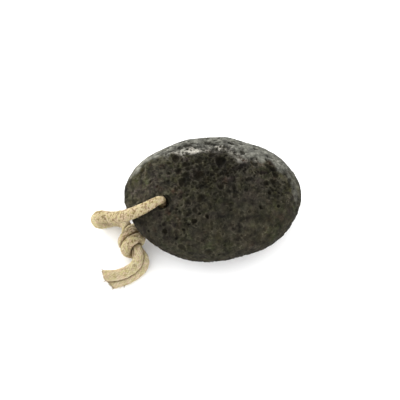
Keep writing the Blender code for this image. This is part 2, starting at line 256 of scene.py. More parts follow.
# Fine pores between the pits: how many are tried, their sizes, and where they crowd together
PORE_SEED = 7
PORES = 14000
PORE_RADIUS = (0.32, 1.0)
PORE_POWER = 2.5
PORE_DEPTH_SHARE = 0.85
PORE_BASE_DENSITY = 0.10
PORE_CROWDS = (
    (Vector((2.0, 16.0, 36.0)), 18.0, 0.8),
    (Vector((-20.0, 10.0, 34.0)), 15.0, 0.45),
    (Vector((32.0, 9.0, 32.0)), 12.0, 0.45),
    (Vector((36.0, -3.0, 32.0)), 10.0, 0.35),
    (Vector((-18.0, -16.0, 34.0)), 10.0, 0.25),
    (Vector((-38.0, 6.0, 26.0)), 12.0, 0.30),
    (Vector((0.0, 26.0, 8.0)), 24.0, 0.3),
    (Vector((-8.0, -24.0, 8.0)), 24.0, 0.2),
)
# Away from where they crowd the pits are worn shallow: the least share of their depth, and the density at
# which they have all of it
WORN_PIT_SHARE = 0.16
WORN_PORE_SHARE = 0.40
WORN_DENSITY = 0.60
# A pit's outline is part round and part cut by a few flats, so that it is angular
PIT_FLATS = 7
PIT_SHAPES = 24
PIT_ANGULAR = 0.6
PIT_FLATS_NEAR = 1.3
RIM_WIDTH = 0.45
RIM_AT = 1.1  # where the rim is, as a share of the pit's radius
RIM_SPREAD = 0.3
RIM_SUNK = (0.15, 0.3)  # a rim deeper than this in another pit keeps only this share
# The crust's own roughness: the size and height of each layer
ROUGH_LAYERS = ((3.2, 0.26), (1.4, 0.15))
RIDGE_SIZE = 2.1
RIDGE_HEIGHT = 0.20
RIDGE_KIND = (0.8, 2.1, 3, 1.0, 2.0)  # Blender's dimension, lacunarity, octaves, offset and gain
RIDGE_MIDDLE = 1.2
# The chipped crest that runs along the stone, as points in X and Y, with the worn bevel on its far side;
# the crest carries a painted highlight and the bevel painted light
CREST_LINE = (
    (-46.0, 4.0), (-38.0, 12.0), (-31.0, 15.6), (-15.5, 18.4), (-8.2, 20.6), (6.4, 21.8),
    (14.7, 14.0), (30.3, 12.0), (37.6, 7.0), (40.5, 0.0), (43.0, -12.0), (46.0, -20.0),
)
CREST_STRAY = (4.5, 3.0)  # the size and the height of its wander
CREST_SPREAD = 2.3
BEVEL_WIDTH = 2.6  # how far past the crest the bevel is fully worn
BEVEL_BEFORE = 0.2  # the share of that width by which it begins before the crest
BEVEL_CALM = 0.55  # how much of the roughness is rubbed off it
BEVEL_FACING = Vector((0.05, 0.70, 0.72)).normalized()
BEVEL_FADE = (0.05, 0.50)  # how far the surface faces that way where the wear and its painted light begin and are full
BEVEL_LOW = (9.0, 22.0)  # the heights between which its wear fades in, at the crest
BEVEL_SLOPE = 0.35
# Where the bevel and the crest begin and end along the stone
BEVEL_START = (-50.0, -31.0)
BEVEL_END = (50.0, 34.0)
CREST_START = (-32.0, -2.0)
CREST_END = (30.0, 6.0)
# Where the crust is lighter or darker: the middle of each patch, its width and how much
SHADE_PATCHES = (
    (Vector((4.0, 12.0, 38.0)), 20.0, -0.32),
    (Vector((4.0, -8.0, 38.0)), 14.0, -0.18),
    (Vector((-38.0, 8.0, 26.0)), 13.0, 0.42),
    (Vector((-26.0, -20.0, 28.0)), 13.0, -0.20),
    (Vector((6.0, -34.0, 18.0)), 16.0, -0.12),
    (Vector((42.0, 4.0, 26.0)), 12.0, 0.12),
)
STONE_GROWN = 0.35  # what the pits take from its outline is given back

# The pumice's colours
CHARCOAL = (0.0126, 0.0112, 0.0068)
OLIVE = (0.0188, 0.0176, 0.0056)
PURPLE = (0.0225, 0.0155, 0.0150)
RUST = (0.0330, 0.0170, 0.0100)
WORN_GREY = (0.0188, 0.0180, 0.0122)
WORN_BROWN = (0.0296, 0.0242, 0.0160)
MOSS = (0.0235, 0.0275, 0.0108)
GRAIN = (0.0520, 0.0480, 0.0350)
SOOT = (0.0040, 0.0033, 0.0018)
# pale worn rims of the pits, partly a painted highlight
PALE_RIM_AND_HIGHLIGHT = (0.0780, 0.0720, 0.0490)
# painted shade in the pits and pores
PIT_SHADE = (0.0055, 0.0044, 0.0018)
# the bevel's worn band, both tones brightened with painted light
BEVEL_DARK = (0.0430, 0.0425, 0.0330)
BEVEL_PALE_AND_LIT = (0.1850, 0.1830, 0.1560)
# the crest's pale chips, with a painted highlight
CREST_CHIPS_AND_HIGHLIGHT = (0.6400, 0.6100, 0.5300)

# A noise pattern: the size of its lumps, where it begins to show and shows in full, how much it then shows,
# how much before, and the noise's own settings
DEFAULTS = (0.0, 1.0, 1.0, 0.0, 3.0, 0.55, 0.0)
Pattern = namedtuple("Pattern", "size start full most least detail rough shift", defaults=DEFAULTS)
# A fade is the same for a plain value: where it begins and is full, how much then, and how much before

# The pumice's mottle over the charcoal
MOTTLE = (
    (Pattern(11.0, 0.42, 0.60), OLIVE),
    (Pattern(8.0, 0.50, 0.66, shift=3.1), PURPLE),
    (Pattern(6.0, 0.58, 0.72, shift=7.7), RUST),
    (Pattern(5.0, 0.58, 0.74, shift=5.2), MOSS),
)
# Its grain: the width of a cell, and the fades over the cells' own values
GRAIN_SIZE = 1.5
GRAIN_FADES = (((0.55, 1.0, 0.55), GRAIN), ((0.45, 0.0, 0.75), SOOT))
FINE_GRAIN = Pattern(2.4, 0.42, 0.68, 0.42, detail=4.0, rough=0.65)
# Its worn ground, its rims with their paleness and painted highlight, its bevel and crest with their wear
# and painted light, and its pits with their painted shade
WORN_PATCHES = Pattern(7.0, 0.38, 0.62, detail=5.0, shift=6.3)
WORN_MOSS = Pattern(9.0, 0.56, 0.70, detail=4.0, shift=8.1)
WORN_FADE = (0.20, 0.85, 0.60)
BROKEN_RIMS = Pattern(1.6, 0.42, 0.66, 0.8, shift=2.2)
STREAKS = Pattern(4.2, 0.34, 0.66, detail=5.0, rough=0.7, shift=9.0)
BEVEL_SHARE = 0.92
CHIPS_AND_GLINTS = Pattern(3.6, 0.44, 0.58, detail=5.0, rough=0.7, shift=4.4)
CREST_LASTS = Pattern(14.0, 0.34, 0.52, shift=1.3)
PIT_FADE = (0.12, 0.66, 0.85)
LIGHTER_SPOTS = Pattern(4.0, 0.32, 0.68, 1.52, 0.30, detail=4.0, rough=0.6, shift=11.0)
# Its finest pores: how wide they are, and the fades of their height and of their painted shade
FINEST_PORE = 0.85
FINEST_RISE = (0.12, 0.42)
FINEST_DARK = (0.22, 0.05, 0.5)
TOOTH = Pattern(0.6, rough=0.6)
PUMICE_ROUGHNESS = (0.0, 1.0, 0.72, 0.92)  # its fade from the crust to the bevel
PUMICE_FINISH = (0.35, 0.9, 0.09)  # the depth and the strength of its bumps, and its shine

# The cotton's colours, and the heights between which its dark specks grow in number and its painted shade
# on the cord's top deepens
CREAM = (0.475, 0.415, 0.262)
PINKISH = (0.525, 0.402, 0.285)
YELLOWISH = (0.440, 0.392, 0.198)
# painted shade, for the crevices between the yarns and for the cord's top
PAINTED_SHADE = (0.160, 0.112, 0.045)
# the dark specks, and the colour of the painted shade between strands, in the hole, on the cord's top and
# on the strays, and of the darker cut ends
SPECK_AND_SHADE = (0.120, 0.075, 0.030)
BLEACHED = (0.580, 0.535, 0.410)
TOP_SHADE_HEIGHTS = (9.0, 15.0)
# The fades of the yarns' tints and of the painted shade in the crevices between them, and the patterns over
# them
PINKISH_FADE = (0.45, 0.85)
YELLOWISH_FADE = (0.45, 0.10)
CREVICE_SHADE_FADE = (0.40, 0.08, 0.65)
YELLOWED = Pattern(7.0, 0.45, 0.65, 0.35, detail=2.0)
BLEACHING = Pattern(3.0, 0.50, 0.75, 0.5, shift=6.0)
SPECKS = Pattern(1.6, 0.51, 0.60, detail=2.0, rough=0.6, shift=2.0)
THREADS = Pattern(0.35, rough=0.65)
# how strongly painted shade darkens the cord's top
TOP_SHADE_SHARE = 0.31
SPECKS_AND_TOP_SHADE_SHARES = (0.80, 0.22)  # more of them show higher up, as painted shade on the cord's top, and so many everywhere
# how much of the painted shade between strands, in the hole and on the strays, and of the darker cut ends,
# shows
SHADED_SHARE = 0.88
COTTON_ROUGHNESS = (0.0, 1.0, 0.9, 1.0)  # its fade from between the yarns to their tops
COTTON_FINISH = (0.25, 0.7, 0.2)

# The studio, in metres
WORLD_STRENGTH = 1.85
BACK_SOFTBOX = ((-1.25, 1.55, 0.68), (1.6, 0.6), 48.0)  # its place, its width and height, and its power
FLOOR_HALF = 3.0
FLOOR_COLOUR = (0.95, 0.95, 0.95, 1.0)
FLOOR_ROUGHNESS = 0.9


def linked(name, data):
    """A new object in the scene."""
    made = bpy.data.objects.new(name, data)
    bpy.context.scene.collection.objects.link(made)
    return made


def kept_mesh(name, temporary):
    """The evaluated mesh of an object that is then removed, as an object of its own."""
    bpy.context.view_layer.update()
    graph = bpy.context.evaluated_depsgraph_get()
    mesh = bpy.data.meshes.new_from_object(temporary.evaluated_get(graph))
    mesh.name = name
    bpy.data.objects.remove(temporary, do_unlink=True)
    return linked(name, mesh)


def mesh_of(name, shape):
    """The finished shape as a mesh."""
    mesh = bpy.data.meshes.new(name)
    shape.to_mesh(mesh)
    shape.free()
    return mesh


def keep_values(mesh, name, values):
    """Values of the mesh's corners, kept where a material can read them."""
    kept = mesh.attributes.new(name, "FLOAT", "POINT")
    kept.data.foreach_set("value", np.asarray(values, dtype=np.float32).ravel())


def smooth_step(values, start, end):
    """The values eased from 0 at start to 1 at end."""
    share = np.clip((values - start) / (end - start), 0.0, 1.0)
    return share * share * (3.0 - 2.0 * share)


# ---------------------------------------------------------------- camera


def make_camera():
    """The camera, which looks down at the stone from in front."""
    data = bpy.data.cameras.new("camera")
    data.sensor_width = SENSOR_WIDTH
    data.lens = SENSOR_WIDTH * VIEW_DISTANCE / VIEW_WIDTH
    data.clip_start, data.clip_end = VIEW_CLIP
    camera = linked("camera", data)
    back = Vector((0.0, -math.cos(VIEW_ELEVATION), math.sin(VIEW_ELEVATION)))
    camera.location = (VIEW_AIM + back * VIEW_DISTANCE) * MM
    camera.rotation_euler = (-back).to_track_quat("-Z", "Y").to_euler()
    bpy.context.scene.camera = camera


# ---------------------------------------------------------------- cord


def knot_point(turn_degrees, outward, along):
    """A point by the knot's axis: degrees round it from its top, and distances out from it and along it."""
    up = (Vector((0.0, 0.0, 1.0)) - KNOT_AXIS * KNOT_AXIS.z).normalized()
    side = KNOT_AXIS.cross(up)
    turn = math.radians(turn_degrees)
    return KNOT_CENTRE + KNOT_AXIS * along + outward * (math.cos(turn) * up + math.sin(turn) * side)


def wraps():
    """The first end's wraps, from the knot's front end to its back."""
    points = []
    for turn in WRAP_TURNS:
        turned = (WRAP_TURNS.start - turn) / 360.0
        place = knot_point(turn, WRAP_RADIUS - WRAP_TAPER * turned, WRAP_FRONT - WRAP_PITCH * turned)
        points.append((*place, WRAP_SQUEEZE))
    return points


def through_core(turn_degrees, start, end):
    """A straight stretch through the knot's middle."""
    places = (start, (start + end) / 2.0, end)
    return [(*knot_point(turn_degrees, CORE_OFFSET, along), CORE_SQUEEZE) for along in places]


def through_hole():
    """A straight stretch down the middle of the drilled hole."""
    return [(*TOP_MOUTH.lerp(UNDER_MOUTH, share), HOLE_SQUEEZE) for share in HOLE_SHARES]


def cord_route():
    """The points that the cord goes through, each with its squeeze, from one cut end to the other."""
    back_turn = [(*knot_point(*place), squeeze) for *place, squeeze in reversed(BACK_TURN)]
    front_turn = [(*knot_point(*place), squeeze) for *place, squeeze in reversed(FRONT_TURN)]
    tied = FIRST_TAIL + through_core(*FIRST_END_CORE) + back_turn + wraps()[::-1] + front_turn
    looped = through_core(*STANDING_CORE) + LOOP + through_hole() + BACK_STRAND
    return tied + looped + through_core(*SECOND_END_CORE) + SECOND_TAIL


def smooth_line(route):
    """A smooth curve through the route's points, centripetal, so that it doesn't swing out."""
    rows = [Vector(point) for point in route]
    rows = [rows[0] * 2 - rows[1]] + rows + [rows[-1] * 2 - rows[-2]]
    line = []
    for a, b, c, d in zip(rows, rows[1:], rows[2:], rows[3:]):
        knots = [0.0]
        for start, end in ((a, b), (b, c), (c, d)):
            knots.append(knots[-1] + (end - start).to_3d().length ** 0.5)
        for step in range(SPAN_STEPS):
            t = knots[1] + (knots[2] - knots[1]) * step / SPAN_STEPS
            one = a.lerp(b, t / knots[1])
            two = b.lerp(c, (t - knots[1]) / (knots[2] - knots[1]))
            three = c.lerp(d, (t - knots[2]) / (knots[3] - knots[2]))
            four = one.lerp(two, t / knots[2])
            five = two.lerp(three, (t - knots[1]) / (knots[3] - knots[1]))
            line.append(four.lerp(five, (t - knots[1]) / (knots[2] - knots[1])))
    return line + [rows[-2]]


def in_even_steps(rows, step):
    """The same line with its points about that far apart, as an array of x, y, z and squeeze."""
    lengths = np.linalg.norm(np.diff(rows[:, :3], axis=0), axis=1)
    along = np.concatenate([[0.0], np.cumsum(lengths)])
    wanted = np.linspace(0.0, along[-1], round(along[-1] / step) + 1)
    return np.stack([np.interp(wanted, along, column) for column in rows.T], axis=1)


def cord_line():
    """The cord's line in steps of RING_STEP, with its sharpest turns softened."""
    rows = in_even_steps(np.array(smooth_line(cord_route())), LINE_STEP)
    for _ in range(SOFTENINGS):
        rows[1:-1] = (rows[:-2] + 2.0 * rows[1:-1] + rows[2:]) / 4.0
    return in_even_steps(rows, RING_STEP)


def tube(name, rows):
    """A plain round tube along the line, one ring of TUBE_SIDES corners at each of its points."""
    data = bpy.data.curves.new(name, "CURVE")
    data.dimensions = "3D"
    data.bevel_depth = CORD_RADIUS
    data.bevel_resolution = TUBE_ROUNDING
    data.use_fill_caps = True
    data.twist_mode = "MINIMUM"
    spline = data.splines.new("POLY")
    spline.points.add(len(rows) - 1)
    for point, (x, y, z, squeeze) in zip(spline.points, rows):
        point.co = (x, y, z, 1.0)
        point.radius = squeeze
    return kept_mesh(name, linked(name + "_line", data))


def beside(rows, whole, within):
    """For each ring near another strand: its number, that strand's points and how far they are."""
    start = int(np.argmin(np.linalg.norm(whole[:, :3] - rows[0, :3], axis=1)))
    for ring, (*centre, squeeze) in enumerate(rows):
        apart = np.linalg.norm(whole[:, :3] - centre, axis=1)
        far_along = np.abs(np.arange(len(whole)) - (start + ring)) * RING_STEP > PRESS_APART
        near = far_along & (apart < (squeeze + whole[:, 3]) * CORD_RADIUS + within)
        if near.any():
            yield ring, whole[near], apart[near]


def pressed_reach(rows, whole, ways):
    """How far each ring of the tube reaches each way before it meets another strand of the cord."""
    reach = np.full(ways.shape[:2], FREE_REACH)
    for ring, others, apart in beside(rows, whole, 0.0):
        radius = rows[ring, 3] * CORD_RADIUS
        half = (apart**2 + radius**2 - (others[:, 3] * CORD_RADIUS) ** 2) / 2.0
        share = ways[ring] @ (others - rows[ring])[:, :3].T
        limit = np.where(share > TINY, half / np.maximum(share, TINY), FREE_REACH)
        reach[ring] = np.clip(limit.min(axis=1), PRESS_LEAST * radius, FREE_REACH)
    return reach


def shade_between(rows, whole, sides):
    """How deep each of the tube's corners lies in the painted shade between two strands, from 0 to 1."""
    shade = np.zeros(sides.shape[:2])
    for ring, others, _ in beside(rows, whole, SHADE_REACH):
        gaps = np.linalg.norm(sides[ring][:, None] - others[:, :3], axis=2) - others[:, 3] * CORD_RADIUS
        shade[ring] = smooth_step(gaps.min(axis=1), SHADE_REACH, 0.0) ** SHADE_POWER
    return shade


def braid(around, along):
    """The braid's relief, from 0 between the yarns to 1 on top of one, and each yarn's own tint."""
    turns = [turn * math.tau for turn in around[0]]
    circle = [(math.cos(turn) * BRAID_WANDER_ROUND, math.sin(turn) * BRAID_WANDER_ROUND) for turn in turns]
    heights = along[:, 0] / BRAID_WANDER_SIZE
    wander = np.array([[noise.noise(Vector((x, y, height))) for x, y in circle] for height in heights])
    one = around * BRAID_YARNS + along / BRAID_PITCH + BRAID_WANDER * wander
    other = around * BRAID_YARNS - along / BRAID_PITCH + BRAID_WANDER * wander[:, ::-1]
    first_over = (np.floor(one) + np.floor(other)) % 2.0 < 0.5
    across = np.where(first_over, one, other) % 1.0
    running = np.where(first_over, other, one) % 1.0
    pattern = np.random.default_rng(BRAID_SEED).uniform(size=(PATTERN_ROWS, PATTERN_ROWS))
    row = np.floor(one).astype(int) % PATTERN_ROWS
    column = np.floor(other).astype(int) % PATTERN_ROWS
    tint = pattern[row, column]
    plump = np.sin(np.pi * across) ** YARN_ACROSS
    plump *= YARN_LOW + (1.0 - YARN_LOW) * np.sin(np.pi * running) ** YARN_ALONG
    return plump * (1.0 - BRAID_UNEVEN * pattern[column, row]), tint


def fibre_faces(count):
    """The faces of that many fibres: two bands of four-sided ones and a closed end each way."""
    faces = []
    for fibre in range(count):
        first = fibre * FIBRE_CORNERS
        last = first + FIBRE_CORNERS - FIBRE_SIDES
        for ring in range(first, last, FIBRE_SIDES):
            for side in range(FIBRE_SIDES):
                start, after = ring + side, ring + (side + 1) % FIBRE_SIDES
                faces.append((start, after, after + FIBRE_SIDES, start + FIBRE_SIDES))
        faces.append((first + 2, first + 1, first))
        faces.append((last, last + 1, last + 2))
    return faces


def fibre_mesh(name, roots, ways, lengths, radii, yarns, curls):
    """Many thin curved fibres, each a three-sided taper, as one mesh."""
    count = len(roots)
    ways = ways / np.linalg.norm(ways, axis=1)[:, None]
    across = np.cross(ways, curls)
    across /= np.linalg.norm(across, axis=1)[:, None] + 1e-9
    third = np.cross(ways, across)
    corners = np.zeros((count, len(FIBRE_RINGS), FIBRE_SIDES, 3))
    for ring, (share, thick) in enumerate(FIBRE_RINGS):
        middle = roots + ways * (lengths * share)[:, None] + curls * (lengths * share**2)[:, None]
        for side in range(FIBRE_SIDES):
            turn = math.tau * side / FIBRE_SIDES
            out = math.cos(turn) * across + math.sin(turn) * third
            corners[:, ring, side] = middle + out * (radii * thick)[:, None]
    lowest = corners[..., 2].min(axis=2)
    corners[..., 2] += np.maximum(FLOOR_CLEAR - lowest, 0.0)[:, :, None]
    mesh = bpy.data.meshes.new(name)
    mesh.from_pydata((corners.reshape(-1, 3) * MM).tolist(), [], fibre_faces(count))
    # fibres with a low yarn value get painted shade, the strays in full
    shaded = np.clip(1.0 - yarns / FRAYED_YARN[1], 0.0, 1.0)
    tints = np.random.default_rng(FIBRE_SEED).uniform(size=count)
    for value, each in (("yarn", yarns), ("shaded", shaded), ("tint", tints)):
        keep_values(mesh, value, np.repeat(each, FIBRE_CORNERS))
    return mesh


def from_cut_end(rows, end):
    """The rings' numbers counted from the cut end."""
    numbers = np.arange(len(rows))
    return numbers if end == "start" else numbers[::-1]


def outward_at(rows, end):
    """Which way the cord points at its cut end."""
    last, inner = (0, END_RINGS) if end == "start" else (-1, -1 - END_RINGS)
    outward = rows[last, :3] - rows[inner, :3]
    return outward / np.linalg.norm(outward)


def fuzz(scatter, sides, ways):
    """The fine fibres all over the cord: where each begins, its way, length, radius and lightness."""
    rings = len(sides)
    count = round(FIBRES_PER_MM * rings * RING_STEP)
    ring = scatter.integers(1, rings - 1, count)
    side = scatter.integers(0, TUBE_SIDES, count)
    out = ways[ring, side]
    roots = sides[ring, side] - FIBRE_SUNK * out
    directions = FIBRE_WAY[0] * out + FIBRE_WAY[1] * scatter.normal(size=(count, 3))
    lengths = scatter.uniform(*FIBRE_LENGTH, count) * scatter.uniform(FIBRE_SHORTEST, 1.0, count)
    return roots, directions, lengths, np.full(count, FIBRE_RADIUS), np.full(count, FIBRE_YARN)


def frayed_fibres(scatter, sides, ways, rows, end):
    """The thicker fibres that stand out of the cut end, each given as in fuzz."""
    last = 0 if end == "start" else -1
    outward = outward_at(rows, end)
    side = scatter.integers(0, TUBE_SIDES, FRAYED)
    inwards = scatter.uniform(0.0, 1.0, FRAYED) ** 0.5
    centre = rows[last, :3]
    spread = (sides[last, side] - centre) * inwards[:, None]
    roots = centre + spread * FRAYED_FACE - outward * FRAYED_SUNK
    directions = outward + FRAYED_WAY[0] * ways[last, side] * inwards[:, None]
    directions += FRAYED_WAY[1] * scatter.normal(size=(FRAYED, 3))
    lengths = scatter.uniform(*FRAYED_LENGTH, FRAYED) * scatter.uniform(FRAYED_SHORTEST, 1.0, FRAYED)
    return roots, directions, lengths, np.full(FRAYED, FRAYED_RADIUS), scatter.uniform(*FRAYED_YARN, FRAYED)


def stray_threads(name, sides, ways, end):
    """The few long strays of this half of the cord, each given as in fuzz."""
    for owner, back, way, length in STRAYS:
        if owner == name:
            ring = round(back / RING_STEP) if end == "start" else len(sides) - 1 - round(back / RING_STEP)
            side = int(np.argmax(ways[ring] @ np.array(way)))
            # a yarn value of 0 gives each stray the full painted shade
            yield sides[ring, side][None], np.array([way]), [length], [STRAY_RADIUS], [0.0]


def loose_fibres(name, sides, ways, rows, end):
    """The cord's fuzz, the frayed fibres round its cut end and a few long strays, as one mesh."""
    scatter = np.random.default_rng(FIBRE_SEED + len(rows))
    kinds = [fuzz(scatter, sides, ways), frayed_fibres(scatter, sides, ways, rows, end)]
    kinds += stray_threads(name, sides, ways, end)
    fibres = [np.concatenate(values) for values in zip(*kinds)]
    roots = fibres[0]
    fibres.append(np.clip(CURL * scatter.normal(size=roots.shape), -CURL_MOST, CURL_MOST))
    keep = roots[:, 2] > FIBRES_ABOVE
    return fibre_mesh(name + "_fibres", *(values[keep] for values in fibres))


def with_caps(values):
    """The rings' values after those of the tube's two caps, in the order of its corners."""
    return np.concatenate([values[-1:], values[:1], values])


def slanted_end(name, sides, rows, end):
    """The rings with the cord's cut end moved along the cord, so that the cut slants."""
    shift, slope = CUTS[name]
    hold = smooth_step(from_cut_end(rows, end) * RING_STEP, CUT_FADE, 0.0)
    rise = (sides - rows[:, None, :3]) @ np.array(CUT_UPWARD)
    return sides + (hold[:, None] * (shift + slope * rise))[:, :, None] * outward_at(rows, end)


def in_hole(rows):
    """How far each ring is out of the light inside the hole, from 0 to 1."""
    under, axis = np.array(UNDER_MOUTH), np.array(TOP_MOUTH - UNDER_MOUTH)
    along = (rows[:, :3] - under) @ axis / (axis @ axis)
    aside = np.linalg.norm(rows[:, :3] - under - along[:, None] * axis, axis=1)
    inside = smooth_step(along, *HOLE_DARK) * smooth_step(1.0 - along, *HOLE_DARK)
    return inside * (aside < HOLE_RADIUS)


def darker_end(rows, end):
    """How much darker each ring is made near the cut end."""
    darkest, reach = END_DARKENING
    return darkest * smooth_step(from_cut_end(rows, end) * RING_STEP, reach, 0.0)


def shaded_sides(rows, whole, sides, end):
    """How dark each of the tube's corners is: painted shade beside another strand and in the hole, and
    darker by the cut end.
    """
    of_rings = np.maximum(in_hole(rows), darker_end(rows, end))
    return np.maximum(shade_between(rows, whole, sides), of_rings[:, None])


def pressed_sides(rows, whole, ways, plump):
    """How far the tube's corners lie from its middle, with its braid and pressed by other strands."""
    free = rows[:, 3:4] * CORD_RADIUS * (1.0 + BRAID_RELIEF * (plump - 0.5))
    reach = pressed_reach(rows, whole, ways)
    return -PRESS_SOFTNESS * np.log(np.exp(-free / PRESS_SOFTNESS) + np.exp(-reach / PRESS_SOFTNESS))


def join_into(mesh, other):
    """The other mesh added to the first and removed."""
    joined = bmesh.new()
    joined.from_mesh(mesh)
    joined.from_mesh(other)
    joined.to_mesh(mesh)
    joined.free()
    bpy.data.meshes.remove(other)


def make_strand(name, rows, whole, first_along, end):
    """Half of the cord: a braided tube, pressed flat where it meets another strand, with its fibres."""
    strand = tube(name, rows)
    mesh = strand.data
    rings = len(rows)
    corners = np.zeros(len(mesh.vertices) * 3)
    mesh.vertices.foreach_get("co", corners)
    centres = rows[:, None, :3]
    spokes = corners.reshape(-1, TUBE_SIDES, 3)[CAPS:] - centres
    ways = spokes / np.linalg.norm(spokes, axis=2)[:, :, None]
    around = np.broadcast_to(np.arange(TUBE_SIDES) / TUBE_SIDES, (rings, TUBE_SIDES))
    along = np.broadcast_to(first_along + np.arange(rings)[:, None] * RING_STEP, (rings, TUBE_SIDES))
    plump, tint = braid(around, along)
    sides = centres + ways * pressed_sides(rows, whole, ways, plump)[:, :, None]
    sides = slanted_end(name, sides, rows, end)
    sides[:, :, 2] = np.maximum(sides[:, :, 2], FLOOR_CLEAR)
    mesh.vertices.foreach_set("co", (with_caps(sides) * MM).ravel())
    keep_values(mesh, "yarn", with_caps(plump))
    # painted shade between strands and in the hole, and the darker cut ends
    keep_values(mesh, "shaded", with_caps(shaded_sides(rows, whole, sides, end)))
    keep_values(mesh, "tint", with_caps(tint))
    join_into(mesh, loose_fibres(name, sides, ways, rows, end))
    return strand


def make_cords(cotton):
    """The cord in two halves, from the middle of the hole to each cut end."""
    whole = cord_line()
    middle = int(np.argmin(np.linalg.norm(whole[:, :3] - np.array(HOLE_MIDDLE), axis=1)))
    halves = (
        ("cord_front", whole[: middle + 1], 0.0, "start", TOP_MOUTH, FRONT_LENGTH),
        ("cord_back", whole[middle:], middle * RING_STEP, "end", UNDER_MOUTH, BACK_LENGTH),
    )
    for name, rows, first_along, end, mouth, length in halves:
        strand = make_strand(name, rows, whole, first_along, end)
        strand.data.materials.clear()
        strand.data.materials.append(cotton)
        strand.data.shade_smooth()
        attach(strand, "root")
        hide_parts("cord")


# ---------------------------------------------------------------- stone


def smooth_distances(directions):
    """How far the smooth worn surface lies from the stone's centre, towards each unit direction."""
    x, y, z = np.abs(directions).T
    section = (y / HALF_WIDTH) ** FULLNESS + (z / HALF_THICKNESS) ** FULLNESS
    total = ((x / HALF_LENGTH) ** 2 + section ** (2.0 / FULLNESS)) ** (EDGE_HARDNESS / 2.0)
    for facing, distance in WORN_FLATS:
        share = np.maximum(directions @ np.array(Vector(facing).normalized()), 0.0)
        total += (share / distance) ** EDGE_HARDNESS
    return total ** (-1.0 / EDGE_HARDNESS)


def lump_height(point):
    """The height of the lumps at a point of the smooth surface."""
    height = 0.0
    for size, most in LUMP_LAYERS:
        height += most * noise.noise(point / size + Vector((size, 0.0, LUMP_PATTERN)))
    for middle, width, most in SWELLS:
        height += most * math.exp(-2.0 * ((point - middle).length / width) ** 2)
    return height


def named_pits(points, normals, listed):
    """The listed pits, each as its centre on the stone's upper side and its radius."""
    upper = [point for point, normal in zip(points, normals) if normal.z > 0.0]
    return [(min(upper, key=lambda p: (p.x - x) ** 2 + (p.y - y) ** 2), radius) for x, y, radius in listed]


def pit_list(points, normals):
    """Each pit as its centre and its radius: the large ones as named, the small ones scattered."""
    pits = named_pits(points, normals, LARGE_PITS)
    scatter = random.Random(PIT_SEED)
    for _ in range(SMALL_PITS):
        small = scatter.uniform(0.0, 1.0) ** SMALL_PIT_POWER
        radius = SMALL_PIT_RADIUS[0] + small * (SMALL_PIT_RADIUS[1] - SMALL_PIT_RADIUS[0])
        place = points[scatter.randrange(len(points))]
        if place.z > PITS_ABOVE:
            pits.append((place, radius))
    return pits


def crowding(place):
    """How densely the fine pores crowd at a place."""
    density = PORE_BASE_DENSITY
    for middle, width, more in PORE_CROWDS:
        density += more * math.exp(-(((place - middle).length / width) ** 2))
    return density


def worn_smooth(place):
    """How smooth the crust is worn at a place, from 0 to 1: it is where few pores crowd."""
    return 1.0 - min(crowding(place) / WORN_DENSITY, 1.0)


def depth_share(place, share, least):
    """A pit's depth as a share of its radius, less where the crust is worn smooth."""
    return share * (1.0 - (1.0 - least) * worn_smooth(place))


def pore_list(points):
    """The fine pores, more of them where they crowd together."""
    scatter = random.Random(PORE_SEED)
    pores = []
    for _ in range(PORES):
        place = points[scatter.randrange(len(points))]
        density = crowding(place)
        small = scatter.uniform(0.0, 1.0) ** PORE_POWER
        radius = PORE_RADIUS[0] + small * (PORE_RADIUS[1] - PORE_RADIUS[0])
        if scatter.uniform(0.0, 1.0) < density and place.z > PITS_ABOVE:
            pores.append((place, radius))
    return pores


def stone_shape():
    """The smooth, lumpy stone on a fine sphere, whose first corners are those of the coarse one."""
    shape = bmesh.new()
    bmesh.ops.create_icosphere(shape, subdivisions=COARSE_LEVELS, radius=1.0)
    coarse = len(shape.verts)
    bmesh.ops.subdivide_edges(shape, edges=shape.edges[:], cuts=FINER_CUTS, use_grid_fill=True)
    shape.verts.ensure_lookup_table()
    directions = np.array([vertex.co.normalized() for vertex in shape.verts])
    distances = smooth_distances(directions)
    for vertex, direction, distance in zip(shape.verts, directions, distances):
        way = Vector(direction)
        smooth = way * float(distance)
        vertex.co = STONE_CENTRE + smooth + way * lump_height(smooth)
    shape.normal_update()
    return shape, coarse


def pit_flats():
    """The flats that cut a pit's outline, as unit directions, for each of the shapes that pits take."""
    scatter = np.random.default_rng(PIT_SEED)
    flats = scatter.normal(size=(PIT_SHAPES, PIT_FLATS, 3))
    return flats / np.linalg.norm(flats, axis=2)[:, :, None]


def pit_depths(points, pits):
    """How deep the pits press each point in, and how near each point lies to a pit's rim."""
    near = KDTree(len(points))
    for index, point in enumerate(points):
        near.insert(point, index)
    near.balance()
    places = np.array(points)
    depth = np.zeros(len(points))
    rim = np.zeros(len(points))
    shapes = pit_flats()
    for number, (centre, radius, share) in enumerate(pits):
        reached = [index for _, index, _ in near.find_range(centre, radius * (1.0 + RIM_WIDTH))]
        offsets = (places[reached] - np.array(centre)) / radius
        round_way = np.linalg.norm(offsets, axis=1)
        flat_way = (offsets @ shapes[number % PIT_SHAPES].T).max(axis=1) * PIT_FLATS_NEAR
        out = (1.0 - PIT_ANGULAR) * round_way + PIT_ANGULAR * flat_way
        bowl = np.maximum(1.0 - out**2, 0.0) ** PIT_FLOOR_SHAPE
        depth[reached] = np.maximum(depth[reached], share * radius * bowl)
        edge = np.clip(1.0 - np.abs(out - RIM_AT) / RIM_SPREAD, 0.0, 1.0)
        rim[reached] = np.maximum(rim[reached], edge)
    rim[depth > RIM_SUNK[0]] *= RIM_SUNK[1]
    return depth, rim


def roughness(point):
    """The height of the crust's own chipped roughness."""
    height = RIDGE_HEIGHT * (noise.ridged_multi_fractal(point / RIDGE_SIZE, *RIDGE_KIND) - RIDGE_MIDDLE)
    for size, most in ROUGH_LAYERS:
        height += most * noise.noise(point / size + Vector((0.0, size, 0.0)))
    return height


